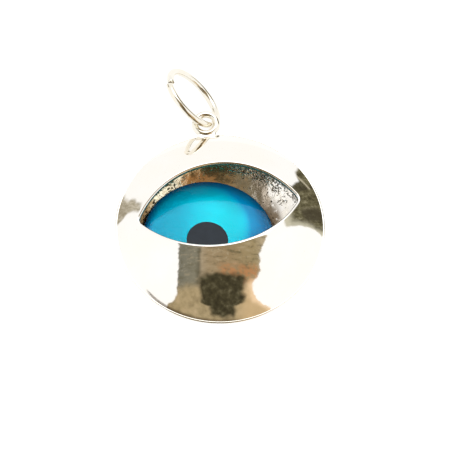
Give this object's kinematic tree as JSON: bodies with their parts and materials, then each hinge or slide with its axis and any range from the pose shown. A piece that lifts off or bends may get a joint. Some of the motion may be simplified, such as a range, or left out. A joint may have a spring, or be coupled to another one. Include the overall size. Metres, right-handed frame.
{
  "type": "evil eye pendant",
  "caption": "Round lens-shaped gold pendant with an almond window over a recessed aqua glass eye, hung from a soldered ring and a jump ring.",
  "frame": {"origin": "lowest point of the back dome, on the disc's axis, where the pendant rests on a surface", "axes": "+Z is the face normal out of the eye window, +Y points from the disc's centre towards the hanging rings, +X is to the right of someone looking at the face"},
  "size_m": [0.0222, 0.0305, 0.0067],
  "materials": {
    "polished_gold": "mirror polished pale yellow gold",
    "cast_gold": "polished outside, rough as cast inside",
    "ring_gold": "polished drawn wire",
    "solder": "polished solder",
    "aqua_glass": "fire-polished translucent aqua",
    "black_glass": "glossy opaque black glass",
    "foil": "bright backing foil",
    "cement": "set jeweller's cement"
  },
  "bodies": {
    "pendant": {"front_shell": "polished_gold", "back_shell": "cast_gold", "rim_seam": "solder", "eye_glass": "aqua_glass", "pupil": "black_glass", "backing_foil": "foil", "setting_cement": "cement", "bail_ring": "ring_gold", "bail_solder": "solder"},
    "jump_ring": {"jump_ring": "ring_gold"}
  },
  "joints": [
    {"name": "jump_ring_swivel", "type": "hinge", "parent": "pendant", "child": "jump_ring", "pos_m": [0.00044, 0.01235, 0.0034], "axis": [0.0359, 0.9994, 0], "range_deg": [0, 73]}
  ]
}
